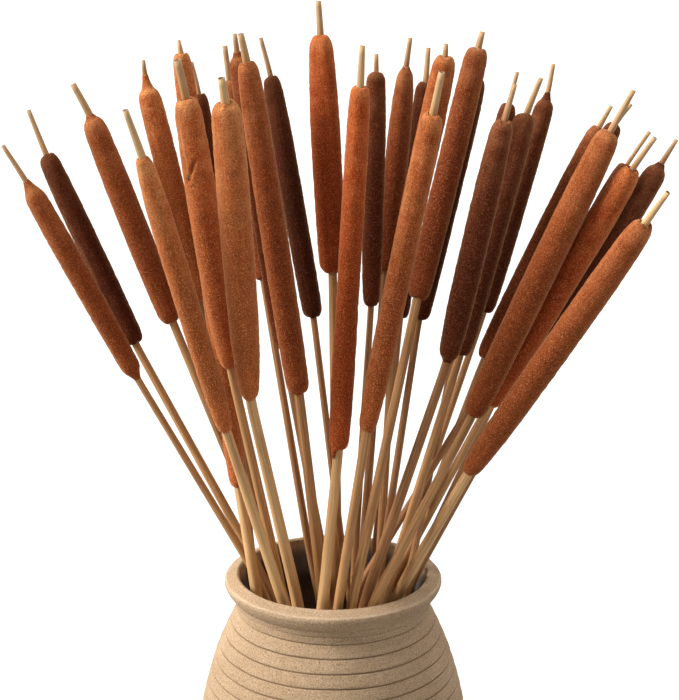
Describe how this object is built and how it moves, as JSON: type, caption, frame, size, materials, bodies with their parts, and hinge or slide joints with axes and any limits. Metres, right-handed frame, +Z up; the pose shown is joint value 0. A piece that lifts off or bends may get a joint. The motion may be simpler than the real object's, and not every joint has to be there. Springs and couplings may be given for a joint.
{
  "type": "cattail stems in a vase",
  "caption": "Dried cattails, each a straw stem with a brown felted seed spike, fanned out in a ribbed stoneware vase with a rolled lip.",
  "frame": {"origin": "centre of the vase's flat foot, on the surface it stands on", "axes": "+Z up along the vase's axis, -Y towards the front of the bunch as pictured, +X to the viewer's right"},
  "size_m": [0.3481, 0.2272, 0.4799],
  "materials": {
    "stem": "matte",
    "spike": "matte",
    "vase": "matte"
  },
  "bodies": {
    "root": {"vase": "vase", "stem_01": "stem", "stem_02": "stem", "stem_03": "stem", "stem_04": "stem", "stem_05": "stem", "stem_06": "stem", "stem_07": "stem", "stem_08": "stem", "stem_09": "stem", "stem_10": "stem", "stem_11": "stem", "stem_12": "stem", "stem_13": "stem", "stem_14": "stem", "stem_15": "stem", "stem_16": "stem", "stem_17": "stem", "stem_18": "stem", "stem_19": "stem", "stem_20": "stem", "stem_21": "stem", "stem_22": "stem", "stem_23": "stem", "stem_24": "stem", "stem_25": "stem", "stem_26": "stem", "stem_27": "stem", "stem_28": "stem", "stem_29": "stem", "spike_01": "spike", "spike_02": "spike", "spike_03": "spike", "spike_04": "spike", "spike_05": "spike", "spike_06": "spike", "spike_07": "spike", "spike_08": "spike", "spike_09": "spike", "spike_10": "spike", "spike_11": "spike", "spike_12": "spike", "spike_13": "spike", "spike_14": "spike", "spike_15": "spike", "spike_16": "spike", "spike_17": "spike", "spike_18": "spike", "spike_19": "spike", "spike_20": "spike", "spike_21": "spike", "spike_22": "spike", "spike_23": "spike", "spike_24": "spike", "spike_25": "spike", "spike_26": "spike", "spike_27": "spike", "spike_28": "spike", "spike_29": "spike"}
  },
  "joints": []
}
